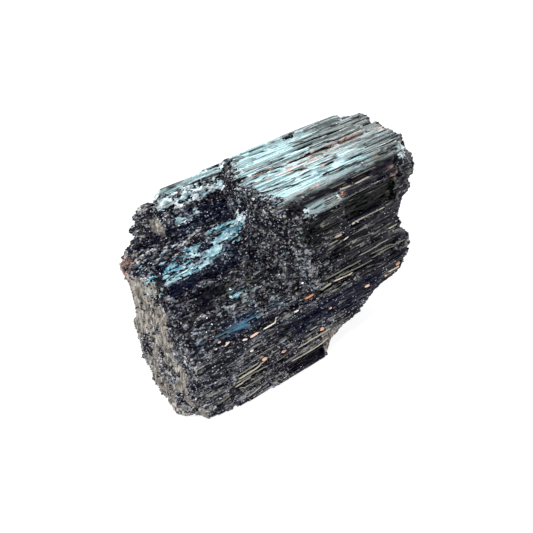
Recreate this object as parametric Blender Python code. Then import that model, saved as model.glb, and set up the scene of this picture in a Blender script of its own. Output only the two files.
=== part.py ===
"""Rough black tourmaline (schorl) crystal, broken at both ends and across one upper corner.

The crystal's long prism axis lies along X, and the stone rests on its flat underside at Z = 0, with its
broad dark prism side facing -Y. The shape is carved from a block by seven relief surfaces: the front, the
top, the back, the underside, two broken ends, and the large break that takes away the upper left corner.
Prism sides are made of long flat laths, as tourmaline's striated sides are, and broken faces are made of
short column ends. Single standing laths are fused to the front and the top before the other five surfaces
are cut, so that they end where the stone is broken. Lumps and ledges are fused last, and then chips are cut.

All sizes are in millimetres until MM turns them into Blender's metres. While it is carved, the stone
stands a little off centre. At the end it is moved so that the origin is the middle of its underside.
"""

import math
import random

import bmesh
import bpy
from mathutils import Euler, Vector

MM = 0.001

# Driving dimensions: reach of the stone along, across and above the surface that it rests on.
LEFT_END = -34.3
RIGHT_END = 42.6
TOP = 42.0
BACK = 19.0
FRONT = -18.4
BLOCK_MARGIN = 6.0  # how far the block that is carved reaches past the stone
CUTTER_MARGIN = 12.0  # how far a relief cutter reaches past the stone, on its four sides
FAR = 70.0  # the plane that closes the outer side of a cutter

# Laths of the striated sides, and column ends of the broken faces.
LATH_WIDTH = (1.0, 2.7)
LATH_STEP = 0.42  # most that a lath stands proud of or below the mean of its side
LATH_RISER = 0.16  # width of the sloped riser between two laths
LATH_STATION = 7.5  # distance between the places where a lath may change its level
LATH_OWN_SHARE = 0.6  # share of a lath's level that is the same all along it
COLUMN = 2.1  # width of the column ends on a broken face
COLUMN_STEP = 0.7  # most that a column end stands in or out of its face
STATION_JITTER = 0.28  # most that a grid line is moved, as a share of the distance between grid lines

# The front side: its place at each height, and how far it is set in or out along the stone.
FRONT_PROFILE = [(-12, -21.0), (0, -18.0), (10, -15.1), (16.6, -13.5), (17.0, -12.7), (26, -11.2), (37, -8.8),
                 (41, -6.0), (60, 6.0)]  # fmt: skip
FRONT_BULGE = [(-34, 1.8), (-30, 1.2), (-23.6, 1.2), (-22.6, 0.0), (-14, 0.0), (-2, -0.8), (4, -0.4), (8, 0.0),
               (60, 0.0)]  # fmt: skip
FRONT_BULGE_TOP = 14.0  # the bulge fades away at this height

# The top and the back, and the way that the back runs in towards both ends.
TOP_PROFILE = [(-30, 22), (-9.2, 37.2), (-5.2, 41.4), (-3.4, 42.0), (6.6, 42.0), (7.2, 41.7), (17.4, 41.9),
               (18.6, 40.8), (19.6, 37.4), (30, 22)]  # fmt: skip
TOP_LATH_SHARE = 0.7  # the top's laths stand out less than those of the front
BACK_PROFILE = [(-12, 9), (0, 12.5), (7, 16), (19, 18.9), (31, 19.2), (38, 19.0), (60, 17.5)]
BACK_PROFILE_LEFT_END = [(-12, -11), (0, -5.5), (3.5, 0.4), (5, 3.3), (21, 4.2), (27, 5.0), (31, 9.0),
                         (38, 12.6), (60, 16)]  # fmt: skip
BACK_TAPER = (-15.0, LEFT_END)
BACK_INSET = [(-60, 0.0), (24, 0.0), (37, 1.8), (43, 3.8), (60, 8.0)]
BACK_LATH_SHARE = 1.5  # and the back's laths stand out more

# The right end of the front and top rounds off into the broken end.
RIGHT_ROUNDING_FROM = 35.5
RIGHT_ROUNDING = 1.3
RIGHT_ROUNDING_REACH = 4.0  # across the top, the rounding grows over this distance from the middle to the front

# The underside: flat on the left, rising to the right, and further right at the back than at the front.
UNDERSIDE_RISE = [(-60, 0), (5.0, 0), (7.4, 3.2), (10, 4.6), (18, 6.6), (23, 9.8), (33, 11.6), (60, 20)]
UNDERSIDE_SHIFT = [(-60, 0), (-14, 0), (2, 10.0), (60, 16.0)]
UNDERSIDE_STATION = 3.4  # distance between the places where a lath of the underside may change its level
UNDERSIDE_HOLLOW = 0.9  # most that a lath of the underside lies above the surface below
RESTING_STRIPS = [(-16.0, -11.0), (-5.0, 1.0), (4.5, 9.0)]  # parts of the underside, across it, that are flat

# The large break: its level across the stone and along it, and the foot and head of its end wall.
BREAK_END = -8.4  # the slope's rows end here, and the wall's rows follow
BREAK_STATION = 2.5
BREAK_LATH_SHARE = 1.2
BREAK_COLUMN_SHARE = 0.5
BREAK_ACROSS = [(-24, 8.0), (-15.4, 12.0), (-13.0, 16.2), (-11.5, 18.6), (-9.0, 21.4), (-5.0, 24.6), (-1.2, 27.2),
                (-0.5, 30.0), (2.0, 31.2), (5.0, 33.0), (10.0, 34.6), (11.2, 37.0), (14.5, 38.9), (18.0, 40.2),
                (30, 41.0)]  # fmt: skip
BREAK_ALONG = [(-50, 24), (-35, 30.2), (-31, 33.2), (-27, 35.4), (-24, 36.6), (-21.4, 37.0), (-20.0, 39.6),
               (-18, 40.6), (20, 41)]  # fmt: skip
BREAK_FLOOR = [(-60, 6.0), (-19, 8.0), (-15, 17.0), (60, 17.0)]  # the break goes no deeper than this, along it
WALL_FOOT = [(-24, 6.0), (-13, 5.0), (-9, 1.5), (-4.5, -3.2), (0, -5.2), (8, -4.8), (12, -3.4), (17, -0.6),
             (30, 4)]  # fmt: skip
WALL_HEAD = [(-24, 11.0), (-13, 7.5), (-9, 2.6), (-4.5, -1.8), (0, -3.0), (8, -2.8), (12, -1.0), (17, 4.0),
             (30, 9)]  # fmt: skip
WALL_OVERRUN = 2.0  # how far the head of the wall's cutter passes above the top
WALL_STEPS = [-0.4, 0.0, 0.15, 0.3, 0.45, 0.6, 0.75, 0.9, 1.1, 1.4]  # rows of column ends, foot 0 and head 1

# Broken ends: the left end across and up, and the right end up and across.
LEFT_ACROSS = [(-24, -28), (-17, -29.6), (-14, -31.8), (-10, -32.6), (-4, -33.9), (10, -34.3), (30, -34.3)]
LEFT_UPWARD = [(0, 0.2), (6, 0.0), (12, 0.9), (20, 1.9), (24, 3.0), (30, 5.0), (60, 9)]
LEFT_BACK_SHARE = 0.2  # share of the upward slope that is left at the back of the left end
LEFT_FADE = 6.0  # the slope fades over this distance, and has its full share from the middle forwards
RIGHT_UPWARD = [(-12, 28), (0, 30.4), (11.3, 33.2), (13.5, 35.2), (18.4, 37.2), (24, 34.4), (30, 35.0),
                (32.4, 37.0), (34, 38.3), (37.8, 40.2), (41, 41.2), (60, 43)]  # fmt: skip
RIGHT_ACROSS = [(-24, -1.0), (-3, 0), (-1, 0.8), (1.6, 2.2), (5.5, 1.4), (13.8, 2.0), (18, 0.5), (30, -5)]

# Chips cut from the stone: centre, size and turn of each box.
CHIPS = {
    "right_pocket": ((25.1, -10.6, 34.6), (16.5, 5.4, 5.8), (-12, 2, 1)),
    "pocket_end": ((17.6, -11.0, 35.4), (5.0, 4.6, 4.4), (-12, 1, -5)),
    "pocket_corner": ((32.4, -10.4, 37.2), (4.6, 4.4, 3.4), (-20, 18, -8)),
    "front_seam": ((-1.0, -13.2, 16.9), (38.0, 2.4, 0.7), (-8, -1.5, 0)),
    "right_seam": ((25.0, -12.1, 21.6), (22.0, 1.9, 0.5), (-9, 0.8, 0)),
    "foot_undercut": ((-1.6, -19.1, 2.6), (12.5, 4.4, 2.2), (-16, 2, 2)),
    "left_groove": ((-22.9, -18.4, 4.0), (1.3, 4.6, 16.0), (-14, 3, 0)),
    "end_notch": ((42.0, 9.4, 42.6), (7.5, 1.5, 4.0), (0, -8, 4)),
    "bench_hollow": ((-7.4, 10.8, 37.6), (7.6, 3.4, 3.6), (28, 6, 12)),
    "left_cavity": ((-34.6, 0.5, 14.0), (2.6, 3.4, 5.2), (10, 12, 20)),
    "left_low_cavity": ((-34.2, -3.4, 7.6), (2.4, 4.6, 3.4), (-24, 8, 6)),
    "left_edge_chip": ((-31.6, -13.0, 19.6), (4.4, 4.0, 3.6), (20, 20, 30)),
    "back_ledge": ((35.0, 20.6, 35.0), (44.0, 4.6, 8.0), (14, 3, -1)),
    "back_foot_ledge": ((-16.0, 16.4, 4.4), (38.0, 5.0, 5.0), (40, 2, 5)),
    "right_end_corner": ((41.0, 12.0, 12.0), (16.0, 16.0, 12.0), (24, 34, 16)),
}  # fmt: skip

# Ledges fused to the stone: centre, size and turn of each box.
LEDGES = {
    "pocket_brow": ((24.0, -8.0, 38.9), (18.0, 2.4, 1.5), (-30, 1, 0)),
    "foot_slab": ((-6.2, -16.9, 1.5), (12.0, 3.2, 1.9), (-6, -1, -2)),
}

# Lumps fused to the stone: centre and radii.
LUMPS = {
    "corner_knob": ((-23.0, 14.6, 37.2), (3.4, 3.2, 3.5)),
    "knob_neck": ((-21.4, 13.2, 35.2), (4.6, 4.6, 3.8)),
    "right_rim": ((37.6, -3.6, 36.8), (4.9, 5.9, 5.9)),
    "right_rim_foot": ((35.4, -6.4, 33.0), (4.4, 4.4, 3.6)),
    "right_lower_rim": ((34.2, -9.4, 18.1), (4.8, 4.9, 3.5)),
    "foot_lump": ((-31.7, -10.4, 2.9), (4.1, 4.8, 2.85)),
}
LUMP_CORNERS = 18
LUMP_TURN = 2.4  # radians about Z from each corner of a lump to the next, about the golden angle
LUMP_UNEVENNESS = 0.25  # most that a corner is moved on each axis, as a share of the radius

# Single standing laths: how many on each side, and their sizes.
RIB_COUNT = {"top": 15, "front": 17}
RIB_WIDTH = (0.7, 2.1)
RIB_LENGTH = (7.0, 26.0)
RIB_DEPTH = 2.4
RIB_RISE = (0.18, 0.5)
RIB_END_TAPER = (0.6, 1.0)
RIB_PLACES = {"top": (-4.5, 16.5), "front": (2.0, 30.0)}  # across the top, and up the front
RIB_LEAN = 1.7  # laths of the front that are lower than the next height lie further left, clear of the
RIB_LEAN_BELOW = 17.0  # rising underside


def along(profile, t):
    """The value at t of a profile given as (t, value) corners, straight between them and level past the ends."""
    if t <= profile[0][0]:
        return profile[0][1]
    for (t0, v0), (t1, v1) in zip(profile, profile[1:]):
        if t <= t1:
            return v0 + (v1 - v0) * (t - t0) / (t1 - t0)
    return profile[-1][1]


def slope(profile, t):
    reach = 0.5
    return (along(profile, t + reach) - along(profile, t - reach)) / (2 * reach)


def clamp(share):
    return min(1.0, max(0.0, share))


def mix(a, b, share):
    return a + (b - a) * share


def lath_lines(start, end, rng):
    """Grid lines across the laths, one each side of every riser, and the lath that each line belongs to."""
    lines, owner = [start], [0]
    edge, lath = start, 0
    while edge < end - LATH_WIDTH[1]:
        edge += rng.uniform(*LATH_WIDTH)
        lines += [edge - LATH_RISER / 2, edge + LATH_RISER / 2]
        owner += [lath, lath + 1]
        lath += 1
    return lines + [end], owner + [lath]


def stations(start, end, step, rng):
    """Grid lines about a step apart, jittered so that nothing lines up."""
    count = max(2, round((end - start) / step))
    inner = [mix(start, end, (i + rng.uniform(-STATION_JITTER, STATION_JITTER)) / count) for i in range(1, count)]
    return [start, *inner, end]


def stations_along(step, rng):
    return stations(LEFT_END - CUTTER_MARGIN, RIGHT_END + CUTTER_MARGIN, step, rng)


def lath_level(lath, station, seed):
    """How far a lath stands out at a station: its own level, and a change of level now and then along it."""
    own = random.Random(f"{seed}-{lath}").uniform(-1, 1)
    run = random.Random(f"{seed}-{lath}-{station // 2}").uniform(-1, 1)
    return LATH_STEP * mix(run, own, LATH_OWN_SHARE)


def column_level(i, j, seed):
    return COLUMN_STEP * random.Random(f"{seed}-{i}-{j}").uniform(-1, 1)


def rounding(x):
    """How far the front and top draw in where they round off into the right end."""
    past = clamp((x - RIGHT_ROUNDING_FROM) / (RIGHT_END - RIGHT_ROUNDING_FROM))
    return RIGHT_ROUNDING * past * past


def new_object(name, bm, helper=False):
    bmesh.ops.recalc_face_normals(bm, faces=bm.faces)
    mesh = bpy.data.meshes.new(name)
    bm.to_mesh(mesh)
    bm.free()
    obj = bpy.data.objects.new(name, mesh)
    bpy.context.scene.collection.objects.link(obj)
    if helper:
        obj.hide_render = True
        obj.display_type = "WIRE"
    return obj


def relief_cutter(name, count_u, count_v, position, far_axis, far):
    """Closed cutter between a relief and a far plane. position(i, j) gives the relief's points in millimetres,
    and the far plane is where the far axis, 0 to 2 for X to Z, has the value far."""
    bm = bmesh.new()
    grid = [[bm.verts.new(position(i, j) * MM) for j in range(count_v)] for i in range(count_u)]
    quads = []
    for i in range(count_u - 1):
        for j in range(count_v - 1):
            quads.append(bm.faces.new((grid[i][j], grid[i + 1][j], grid[i + 1][j + 1], grid[i][j + 1])))
    last_u, last_v = count_u - 1, count_v - 1
    rim = [grid[i][0] for i in range(last_u)] + [grid[last_u][j] for j in range(last_v)]
    rim += [grid[i][last_v] for i in range(last_u, 0, -1)] + [grid[0][j] for j in range(last_v, 0, -1)]
    distant = []
    for vert in rim:
        point = vert.co.copy()
        point[far_axis] = far * MM
        distant.append(bm.verts.new(point))
    for k, vert in enumerate(rim):
        following = (k + 1) % len(rim)
        bm.faces.new((vert, rim[following], distant[following], distant[k]))
    bm.faces.new(distant)
    bmesh.ops.triangulate(bm, faces=quads)
    return new_object(name, bm, helper=True)


def front_cutter():
    rng = random.Random(11)
    xs = stations_along(LATH_STATION, rng)
    zs, lath = lath_lines(-BLOCK_MARGIN, TOP + BLOCK_MARGIN, rng)

    def position(i, j):
        x, z = xs[i], zs[j]
        bulge = along(FRONT_BULGE, x) * clamp(1 - z / FRONT_BULGE_TOP)
        y = along(FRONT_PROFILE, z) + bulge + rounding(x) + lath_level(lath[j], i, "front")
        return Vector((x, y, z))

    return relief_cutter("front_relief", len(xs), len(zs), position, 1, -FAR)


def back_cutter():
    rng = random.Random(12)
    xs = stations_along(LATH_STATION, rng)
    zs, lath = lath_lines(-BLOCK_MARGIN, TOP + BLOCK_MARGIN, rng)

    def position(i, j):
        x, z = xs[i], zs[j]
        taper = clamp((x - BACK_TAPER[0]) / (BACK_TAPER[1] - BACK_TAPER[0]))
        y = mix(along(BACK_PROFILE, z), along(BACK_PROFILE_LEFT_END, z), taper) - along(BACK_INSET, x)
        return Vector((x, y + BACK_LATH_SHARE * lath_level(lath[j], i, "back"), z))

    return relief_cutter("back_relief", len(xs), len(zs), position, 1, FAR)


def top_cutter():
    rng = random.Random(13)
    xs = stations_along(LATH_STATION, rng)
    ys, lath = lath_lines(FRONT - BLOCK_MARGIN, BACK + BLOCK_MARGIN, rng)

    def position(i, j):
        x, y = xs[i], ys[j]
        level = along(TOP_PROFILE, y + along(BACK_INSET, x) * clamp(y / BACK))
        drawn_in = rounding(x) * clamp(-y / RIGHT_ROUNDING_REACH)
        return Vector((x, y, level - drawn_in + TOP_LATH_SHARE * lath_level(lath[j], i, "top")))

    return relief_cutter("top_relief", len(xs), len(ys), position, 2, FAR)


def underside_cutter():
    rng = random.Random(14)
    xs = stations_along(UNDERSIDE_STATION, rng)
    ys, lath = lath_lines(FRONT - BLOCK_MARGIN, BACK + BLOCK_MARGIN, rng)

    def position(i, j):
        x, y = xs[i], ys[j]
        z = along(UNDERSIDE_RISE, x - along(UNDERSIDE_SHIFT, y))
        resting = any(low <= y <= high for low, high in RESTING_STRIPS)
        if not resting:
            z += UNDERSIDE_HOLLOW * clamp(0.5 + lath_level(lath[j], i, "underside") / LATH_STEP)
        return Vector((x, y, z))

    return relief_cutter("underside_relief", len(xs), len(ys), position, 2, -FAR)


def left_end_cutter():
    rng = random.Random(15)
    ys = stations(FRONT - BLOCK_MARGIN, BACK + BLOCK_MARGIN, COLUMN, rng)
    zs = stations(-BLOCK_MARGIN, TOP + BLOCK_MARGIN, COLUMN, rng)

    def position(i, j):
        y, z = ys[i], zs[j]
        front_share = max(LEFT_BACK_SHARE, clamp((LEFT_FADE - y) / LEFT_FADE))
        x = along(LEFT_ACROSS, y) + along(LEFT_UPWARD, z) * front_share
        return Vector((x + column_level(i, j // 2, "left"), y, z))

    return relief_cutter("left_end_relief", len(ys), len(zs), position, 0, -FAR)


def right_end_cutter():
    rng = random.Random(16)
    ys = stations(FRONT - BLOCK_MARGIN, BACK + BLOCK_MARGIN, COLUMN, rng)
    zs = stations(-BLOCK_MARGIN, TOP + BLOCK_MARGIN, COLUMN, rng)

    def position(i, j):
        y, z = ys[i], zs[j]
        x = along(RIGHT_UPWARD, z) + along(RIGHT_ACROSS, y)
        return Vector((x + column_level(i, j, "right"), y, z))

    return relief_cutter("right_end_relief", len(ys), len(zs), position, 0, FAR)


def upper_left_cutter():
    """The large break: a terraced slope on the left, and the end wall of short columns that stops it."""
    rng = random.Random(17)
    xs = stations(LEFT_END - CUTTER_MARGIN, BREAK_END, BREAK_STATION, rng)
    ys, lath = lath_lines(FRONT - BLOCK_MARGIN, BACK + BLOCK_MARGIN, rng)

    def slope_point(x, i, j):
        z = max(min(along(BREAK_ACROSS, ys[j]), along(BREAK_ALONG, x)), along(BREAK_FLOOR, x))
        z += BREAK_LATH_SHARE * lath_level(lath[j], i, "break")
        z += BREAK_COLUMN_SHARE * column_level(i, j, "break")
        return Vector((x, ys[j], z))

    def wall_point(step, i, j):
        y = ys[j]
        x = mix(along(WALL_FOOT, y), along(WALL_HEAD, y), step) + column_level(i, j // 2, "wall")
        foot = max(along(BREAK_ACROSS, y), along(BREAK_FLOOR, x))
        z = mix(foot, TOP + WALL_OVERRUN, max(0.0, step))
        return Vector((x, y, z))

    def position(i, j):
        if i < len(xs):
            return slope_point(xs[i], i, j)
        return wall_point(WALL_STEPS[i - len(xs)], i, j)

    return relief_cutter("upper_left_relief", len(xs) + len(WALL_STEPS), len(ys), position, 2, FAR)


def box(name, centre, size, turn=(0, 0, 0), end_taper=1.0, helper=True):
    """A box, turned by degrees about X, Y and Z, whose +X end is narrower by its end taper."""
    bm = bmesh.new()
    bmesh.ops.create_cube(bm, size=1.0)
    rotation = Euler([math.radians(angle) for angle in turn]).to_matrix()
    for vert in bm.verts:
        shrink = end_taper if vert.co.x > 0 else 1.0
        corner = Vector((vert.co.x * size[0], vert.co.y * size[1] * shrink, vert.co.z * size[2]))
        vert.co = (Vector(centre) + rotation @ corner) * MM
    return new_object(name, bm, helper)


def lump(name, centre, radii):
    """A rough lump with uneven flat faces: the hull of corners spread over an ellipsoid."""
    rng = random.Random(name)
    bm = bmesh.new()
    for index in range(LUMP_CORNERS):
        height = 1 - 2 * (index + 0.5) / LUMP_CORNERS
        ring = math.sqrt(1 - height * height)
        spread = (ring * math.cos(LUMP_TURN * index), ring * math.sin(LUMP_TURN * index), height)
        uneven = Vector([share + LUMP_UNEVENNESS * rng.uniform(-1, 1) for share in spread])
        offset = Vector([share * radius for share, radius in zip(uneven.normalized(), radii)])
        bm.verts.new((Vector(centre) + offset) * MM)
    bmesh.ops.convex_hull(bm, input=bm.verts)
    return new_object(name, bm, helper=True)


def standing_laths(side):
    """Single laths that stand a little proud of the top or the front, each with its own ends."""
    rng = random.Random(f"ribs-{side}")
    for index in range(RIB_COUNT[side]):
        length = rng.uniform(*RIB_LENGTH)
        width = rng.uniform(*RIB_WIDTH)
        sink = RIB_DEPTH / 2 - rng.uniform(*RIB_RISE)
        middle_x = rng.uniform(length / 2, RIGHT_END - length / 2)
        if side == "top":
            y = rng.uniform(*RIB_PLACES[side])
            tilt = math.degrees(math.atan(slope(TOP_PROFILE, y)))
            centre = (middle_x, y, along(TOP_PROFILE, y) - sink)
            size = (length, width, RIB_DEPTH)
        else:
            z = rng.uniform(*RIB_PLACES[side])
            middle_x -= max(0.0, RIB_LEAN_BELOW - z) * RIB_LEAN
            tilt = -math.degrees(math.atan(slope(FRONT_PROFILE, z)))
            centre = (middle_x, along(FRONT_PROFILE, z) + sink, z)
            size = (length, RIB_DEPTH, width)
        yield box(f"{side}_lath_{index}", centre, size, (tilt, 0, 0), rng.uniform(*RIB_END_TAPER))


def combine(obj, other, operation):
    modifier = obj.modifiers.new(f"{operation.title()} {other.name}", "BOOLEAN")
    modifier.operation = operation
    modifier.object = other
    modifier.solver = "EXACT"


def carve(obj):
    for cutter in (front_cutter, top_cutter):
        combine(obj, cutter(), "DIFFERENCE")
    for side in RIB_COUNT:
        for rib in standing_laths(side):
            combine(obj, rib, "UNION")
    for cutter in (back_cutter, underside_cutter, left_end_cutter, right_end_cutter, upper_left_cutter):
        combine(obj, cutter(), "DIFFERENCE")
    for name, (centre, radii) in LUMPS.items():
        combine(obj, lump(name, centre, radii), "UNION")
    for name, (centre, size, turn) in LEDGES.items():
        combine(obj, box(name, centre, size, turn), "UNION")
    for name, (centre, size, turn) in CHIPS.items():
        combine(obj, box(name, centre, size, turn), "DIFFERENCE")


def settle(obj):
    """Keeps the carved mesh alone, and moves it so that the origin is the middle of its underside."""
    carved = bpy.data.meshes.new_from_object(obj.evaluated_get(bpy.context.evaluated_depsgraph_get()))
    obj.modifiers.clear()
    obj.data = carved
    for other in list(bpy.data.objects):
        if other != obj:
            bpy.data.objects.remove(other)
    lows = [min(vert.co[axis] for vert in carved.vertices) for axis in range(3)]
    highs = [max(vert.co[axis] for vert in carved.vertices) for axis in range(3)]
    middle = Vector(((lows[0] + highs[0]) / 2, (lows[1] + highs[1]) / 2, lows[2]))
    for vert in carved.vertices:
        vert.co -= middle


def schorl():
    material = bpy.data.materials.new("black_tourmaline")
    material.use_nodes = True
    shader = material.node_tree.nodes["Principled BSDF"]
    shader.inputs["Base Color"].default_value = (0.018, 0.022, 0.028, 1.0)
    shader.inputs["Roughness"].default_value = 0.28
    shader.inputs["Metallic"].default_value = 0.0
    return material


def build():
    for obj in list(bpy.data.objects):
        bpy.data.objects.remove(obj)
    middle = ((LEFT_END + RIGHT_END) / 2, (FRONT + BACK) / 2, TOP / 2)
    size = [high - low + 2 * BLOCK_MARGIN for low, high in ((LEFT_END, RIGHT_END), (FRONT, BACK), (0, TOP))]
    crystal = box("tourmaline_crystal", middle, size, helper=False)
    carve(crystal)
    settle(crystal)
    crystal.data.materials.clear()
    crystal.data.materials.append(schorl())


build()
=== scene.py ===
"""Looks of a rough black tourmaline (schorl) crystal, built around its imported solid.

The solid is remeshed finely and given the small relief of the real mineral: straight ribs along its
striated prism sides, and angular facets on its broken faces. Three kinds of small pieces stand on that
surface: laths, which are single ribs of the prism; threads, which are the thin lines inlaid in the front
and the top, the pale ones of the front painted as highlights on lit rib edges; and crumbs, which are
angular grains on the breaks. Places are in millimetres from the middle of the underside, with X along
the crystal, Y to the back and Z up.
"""

import itertools
import math

import bmesh
import bpy
import numpy as np
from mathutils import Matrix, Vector
from mathutils.bvhtree import BVHTree


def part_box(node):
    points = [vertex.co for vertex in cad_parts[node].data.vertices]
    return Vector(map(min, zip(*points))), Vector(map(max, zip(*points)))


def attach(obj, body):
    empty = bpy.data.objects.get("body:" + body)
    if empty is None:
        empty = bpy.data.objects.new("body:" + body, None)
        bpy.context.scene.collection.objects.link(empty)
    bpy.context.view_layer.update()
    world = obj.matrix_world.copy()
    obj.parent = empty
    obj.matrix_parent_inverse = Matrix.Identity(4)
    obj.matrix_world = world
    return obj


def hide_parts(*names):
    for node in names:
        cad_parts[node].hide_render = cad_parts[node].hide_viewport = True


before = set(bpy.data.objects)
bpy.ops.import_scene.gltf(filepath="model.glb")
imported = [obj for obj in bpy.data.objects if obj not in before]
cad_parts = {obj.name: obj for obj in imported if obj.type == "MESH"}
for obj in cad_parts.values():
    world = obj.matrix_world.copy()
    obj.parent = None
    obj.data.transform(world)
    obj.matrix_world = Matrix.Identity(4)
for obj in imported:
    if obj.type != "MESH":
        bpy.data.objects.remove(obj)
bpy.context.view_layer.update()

MM = 0.001
STONE = "tourmaline_crystal"
SLOT = "black_tourmaline"

# The fine surface.
VOXEL = 0.3  # size of a cell of the remesh
STONE_TRIANGLES = 190000
SMOOTH_ANGLE = math.radians(28)
SMOOTHING_ROUNDS = 60  # of the smoother surface that hollows and ridges are told from
RIDGE_HEIGHT = 0.3  # a place this far out of that smoother surface is a full ridge
WIDE_RIB_HEIGHT = 0.26
FINE_RIB_HEIGHT = 0.17
SPLINTER_HEIGHT = 0.2
SLOT_DEPTH = 0.5  # of the few narrow slots between ribs
CRACK_DEPTH = 0.4
GROOVE_DEPTH = 0.45
LIP_HEIGHT = 0.7
FACET_LAYERS = [(0.6, (0.3, 1, 1), 2.4, 75), (0.4, (0.5, 1, 1), 1.3, 70), (0.2, (0.8, 1, 1), 0.7, 80)]

# Laths: single ribs laid on the prism sides.
LATH_COUNT = 5200
LATH_SEED = 1
LATH_WIDTH = (0.2, 0.7)
LATH_WIDTH_ON_TOP = 0.6  # as a share of the above
LATH_RISE = (0.03, 0.12)
LATH_ROOT = 0.45  # how deep a lath is sunk in the stone
LATH_LENGTH = (1.5, 14.0)
LATH_REACH = (0.25, 1.0)  # how far a lath may run each way, as a share of the longest
LATH_TAPER = (0.35, 1.0)  # width of an end, as a share of the width
LATH_RIDGE = 0.7  # width of the upper side, as a share of the width
LATH_BEVEL = 0.2  # each end slopes back by this much
PROBE_PACE = 1.0  # the surface under a lath is probed at this pace
PROBE_HEIGHT = 1.0  # from this far above the lath's line
PROBE_STEP = 0.3  # a lath ends where the surface steps by more than this
PROBE_DRIFT = 0.45  # or is further than this from the lath's line
PROBE_MARGIN = 0.4  # and it stays this far from its last probe

# Laths and crumbs are small blocks, painted as if they all faced up. Their ridge share paints them lighter,
# as painted light on ridges.
BLOCK_FACING = (0.0, 0.0, 1.0)
BLOCK_RIDGE = (0.35, 0.85)
BLOCK_STAIN = 0.85

# Threads: thin bars inlaid along the lines of the front and the top. The pale ones of the front are painted
# highlights on lit rib edges.
THREAD_PACE = 0.7
THREAD_END = 0.35  # thickness at the ends, as a share of the whole
THREAD_BESIDE = (-0.4, 0.0, 0.4)  # the top is probed on the line and this far beside it
TOP_THREAD_SUNK = 0.3  # how deep a thread's middle lies, as a share of its half thickness
FRONT_THREAD_SUNK = 0.5
ABOVE = 60.0  # a height clear above the stone, for probes to start at
BEFORE = -40.0  # and a place clear before it

# Crumbs: angular grains on the breaks.
CRUMB_COUNT = 15000
CRUMB_SEED = 2
CRUMB_SIZE = (0.18, 0.48)
CRUMB_FEWER_LARGE = 2.2  # the higher this power, the fewer of them are large
CRUMB_SIDES = (0.6, 1.15)
CRUMB_SKEW = 0.35
CRUMB_STRETCH = (2.0, 1.0, 1.0)
CRUMB_SUNK = 0.3  # as a share of the size

# Colours of the inlaid lines. A number between two of them is a mixture of both.
BLACK, OLIVE, CREAM, ORANGE = 0.25, 0.5, 0.75, 1.0

# Lines of the front, in millimetres: colour, half thickness, then X and Z of each place. The olive and pale
# grey ones are painted highlights on lit rib edges; the cream and orange ones are veins and stains of the
# stone. A groove runs under each.
FRONT_LINES = [
    (CREAM, 0.2, (-15.6, 16.1), (-10.6, 16.3)),
    (0.85, 0.34, (-19.5, 16.0), (-17.2, 16.2)),
    (CREAM, 0.26, (-6.6, 16.4), (-5.2, 16.4)),
    (ORANGE, 0.3, (-2.3, 17.4), (0.4, 17.4)),
    (0.58, 0.3, (2.3, 17.7), (5.9, 18.1)),
    (0.78, 0.2, (6.9, 17.9), (13.6, 17.3)),
    (OLIVE, 0.22, (4.0, 19.9), (16.1, 19.9)),
    (OLIVE, 0.17, (9.5, 18.5), (20.4, 18.1)),
    (OLIVE, 0.16, (19.9, 18.8), (26.4, 19.1), (29.6, 19.8)),
    (0.55, 0.17, (15.3, 21.4), (19.7, 21.4), (22.7, 21.9), (25.6, 21.9)),
    (OLIVE, 0.16, (19.4, 20.1), (27.3, 19.8), (31.4, 19.5)),
    (0.58, 0.2, (14.4, 31.1), (24.7, 31.1)),
    (CREAM, 0.17, (25.6, 24.8), (28.8, 24.7)),
    (0.6, 0.15, (6.4, 28.3), (9.3, 28.4)),
    (0.86, 0.34, (7.9, 29.9), (10.2, 29.8)),
    (CREAM, 0.18, (10.9, 27.7), (12.5, 28.1)),
    (CREAM, 0.3, (13.8, 30.9), (14.7, 31.0)),
    (CREAM, 0.3, (15.3, 31.0), (16.0, 30.6)),
    (0.62, 0.17, (-7.4, 6.8), (3.6, 6.7)),
    (0.62, 0.17, (-9.7, 4.2), (-0.4, 4.3), (2.5, 4.6)),
    (OLIVE, 0.15, (-18.6, 12.7), (-16.5, 13.0)),
    (0.66, 0.26, (24.8, 12.8), (29.2, 12.7)),
    (0.6, 0.14, (-2.9, 9.6), (-0.6, 9.7)),
    (0.7, 0.2, (-25.9, 16.3), (-24.4, 16.9)),
    (CREAM, 0.32, (-21.5, 16.1), (-20.1, 15.7)),
    (0.85, 0.3, (-25.4, 16.7), (-24.6, 16.7)),
    (0.85, 0.3, (-27.2, 17.7), (-26.4, 17.7)),
    (CREAM, 0.32, (-28.5, 16.8), (-27.8, 16.8)),
    (CREAM, 0.3, (-20.2, 12.4), (-19.2, 12.4)),
    (0.85, 0.36, (-12.0, 8.0), (-10.8, 8.0)),
    (0.93, 0.5, (0.2, 7.8), (1.6, 7.8)),
    (0.9, 0.5, (-17.4, 8.4), (-16.0, 8.4)),
    (0.93, 0.36, (4.0, 12.0), (4.9, 12.0)),
    (0.85, 0.42, (16.2, 12.4), (17.8, 12.4)),
    (0.95, 0.48, (27.7, 13.5), (29.2, 13.7)),
    (0.9, 0.36, (23.4, 12.2), (24.2, 12.2)),
    (0.55, 0.2, (-25.0, 8.2), (-18.4, 8.5)),
    (0.62, 0.22, (-24.6, 7.3), (-16.6, 7.6)),
    (0.55, 0.18, (-25.4, 6.4), (-17.4, 6.6)),
    (0.6, 0.22, (-25.8, 5.5), (-19.0, 5.8)),
    (0.52, 0.18, (-25.0, 4.6), (-18.2, 4.8)),
    (0.6, 0.18, (-23.6, 1.7), (-19.0, 2.2)),
    (OLIVE, 0.14, (-31.0, 3.4), (-27.0, 4.4)),
    (OLIVE, 0.14, (-13.6, 6.4), (-10.2, 6.7)),
]

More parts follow.
